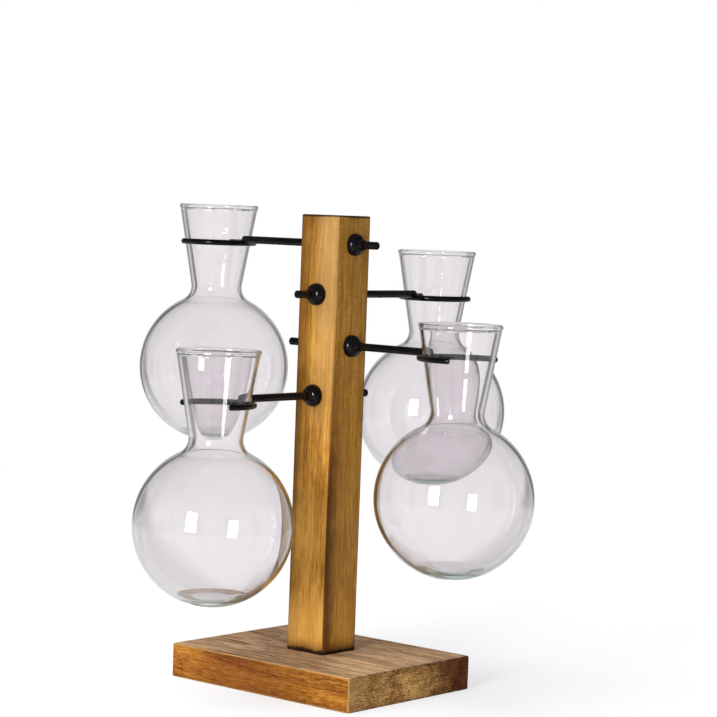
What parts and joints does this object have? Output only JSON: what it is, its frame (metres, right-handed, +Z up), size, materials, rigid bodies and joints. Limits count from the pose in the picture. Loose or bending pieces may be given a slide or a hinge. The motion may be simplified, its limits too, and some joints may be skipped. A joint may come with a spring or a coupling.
{
  "type": "propagation vase stand",
  "caption": "Wooden stand whose square post carries steel rods with open rings, each holding a removable blown-glass bulb vase for rooting cuttings.",
  "frame": {"origin": "centre of the base's underside, on the surface that the stand rests on", "axes": "+Z up along the post; +X along the base's long side, towards the third holder; -Y towards the fourth and lowest holder"},
  "size_m": [0.248, 0.248, 0.2466],
  "materials": {
    "base_wood": "red-brown stained softwood, satin, lightly scorched edges",
    "post_wood": "honey-brown stained softwood, satin, lightly scorched edges",
    "screw_steel": "zinc-plated",
    "black_steel": "glossy black enamel",
    "black_rubber": "satin moulded rubber",
    "clear_glass": "clear, fire-polished"
  },
  "bodies": {
    "stand": {"base": "base_wood", "post": "post_wood", "base_screws": "screw_steel"},
    "stoppers_1": {"stopper_1_ring_side": "black_rubber", "stopper_1_stub_side": "black_rubber"},
    "holder_1": {"rod_1": "black_steel", "ring_1": "black_steel"},
    "glass_1": {"vase_1": "clear_glass"},
    "stoppers_2": {"stopper_2_ring_side": "black_rubber", "stopper_2_stub_side": "black_rubber"},
    "holder_2": {"rod_2": "black_steel", "ring_2": "black_steel"},
    "glass_2": {"vase_2": "clear_glass"},
    "stoppers_3": {"stopper_3_ring_side": "black_rubber", "stopper_3_stub_side": "black_rubber"},
    "holder_3": {"rod_3": "black_steel", "ring_3": "black_steel"},
    "glass_3": {"vase_3": "clear_glass"},
    "stoppers_4": {"stopper_4_ring_side": "black_rubber", "stopper_4_stub_side": "black_rubber"},
    "holder_4": {"rod_4": "black_steel", "ring_4": "black_steel"},
    "glass_4": {"vase_4": "clear_glass"}
  },
  "joints": [
    {"name": "holder_1_turn", "type": "hinge", "parent": "stand", "child": "stoppers_1", "pos_m": [0, 0, 0.2287], "axis": [-1, 0, 0], "range_deg": [-15, 15]},
    {"name": "holder_1_reach", "type": "slide", "parent": "stoppers_1", "child": "holder_1", "axis": [-1, 0, 0], "range_m": [-0.006, 0.008]},
    {"name": "vase_1_lift", "type": "slide", "parent": "holder_1", "child": "glass_1", "axis": [0, 0, 1], "range_m": [0, 0.0207]},
    {"name": "holder_2_turn", "type": "hinge", "parent": "stand", "child": "stoppers_2", "pos_m": [0, 0, 0.2027], "axis": [0, 1, 0], "range_deg": [-15, 15]},
    {"name": "holder_2_reach", "type": "slide", "parent": "stoppers_2", "child": "holder_2", "axis": [0, 1, 0], "range_m": [-0.006, 0.008]},
    {"name": "vase_2_lift", "type": "slide", "parent": "holder_2", "child": "glass_2", "axis": [0, 0, 1], "range_m": [0, 0.0152]},
    {"name": "holder_3_turn", "type": "hinge", "parent": "stand", "child": "stoppers_3", "pos_m": [0, 0, 0.1767], "axis": [1, 0, 0], "range_deg": [-15, 15]},
    {"name": "holder_3_reach", "type": "slide", "parent": "stoppers_3", "child": "holder_3", "axis": [1, 0, 0], "range_m": [-0.006, 0.008]},
    {"name": "vase_3_lift", "type": "slide", "parent": "holder_3", "child": "glass_3", "axis": [0, 0, 1], "range_m": [0, 0.0232]},
    {"name": "holder_4_turn", "type": "hinge", "parent": "stand", "child": "stoppers_4", "pos_m": [0, 0, 0.1507], "axis": [0, -1, 0], "range_deg": [-15, 15]},
    {"name": "holder_4_reach", "type": "slide", "parent": "stoppers_4", "child": "holder_4", "axis": [0, -1, 0], "range_m": [-0.006, 0.008]},
    {"name": "vase_4_lift", "type": "slide", "parent": "holder_4", "child": "glass_4", "axis": [0, 0, 1], "range_m": [0, 0.0136]}
  ]
}
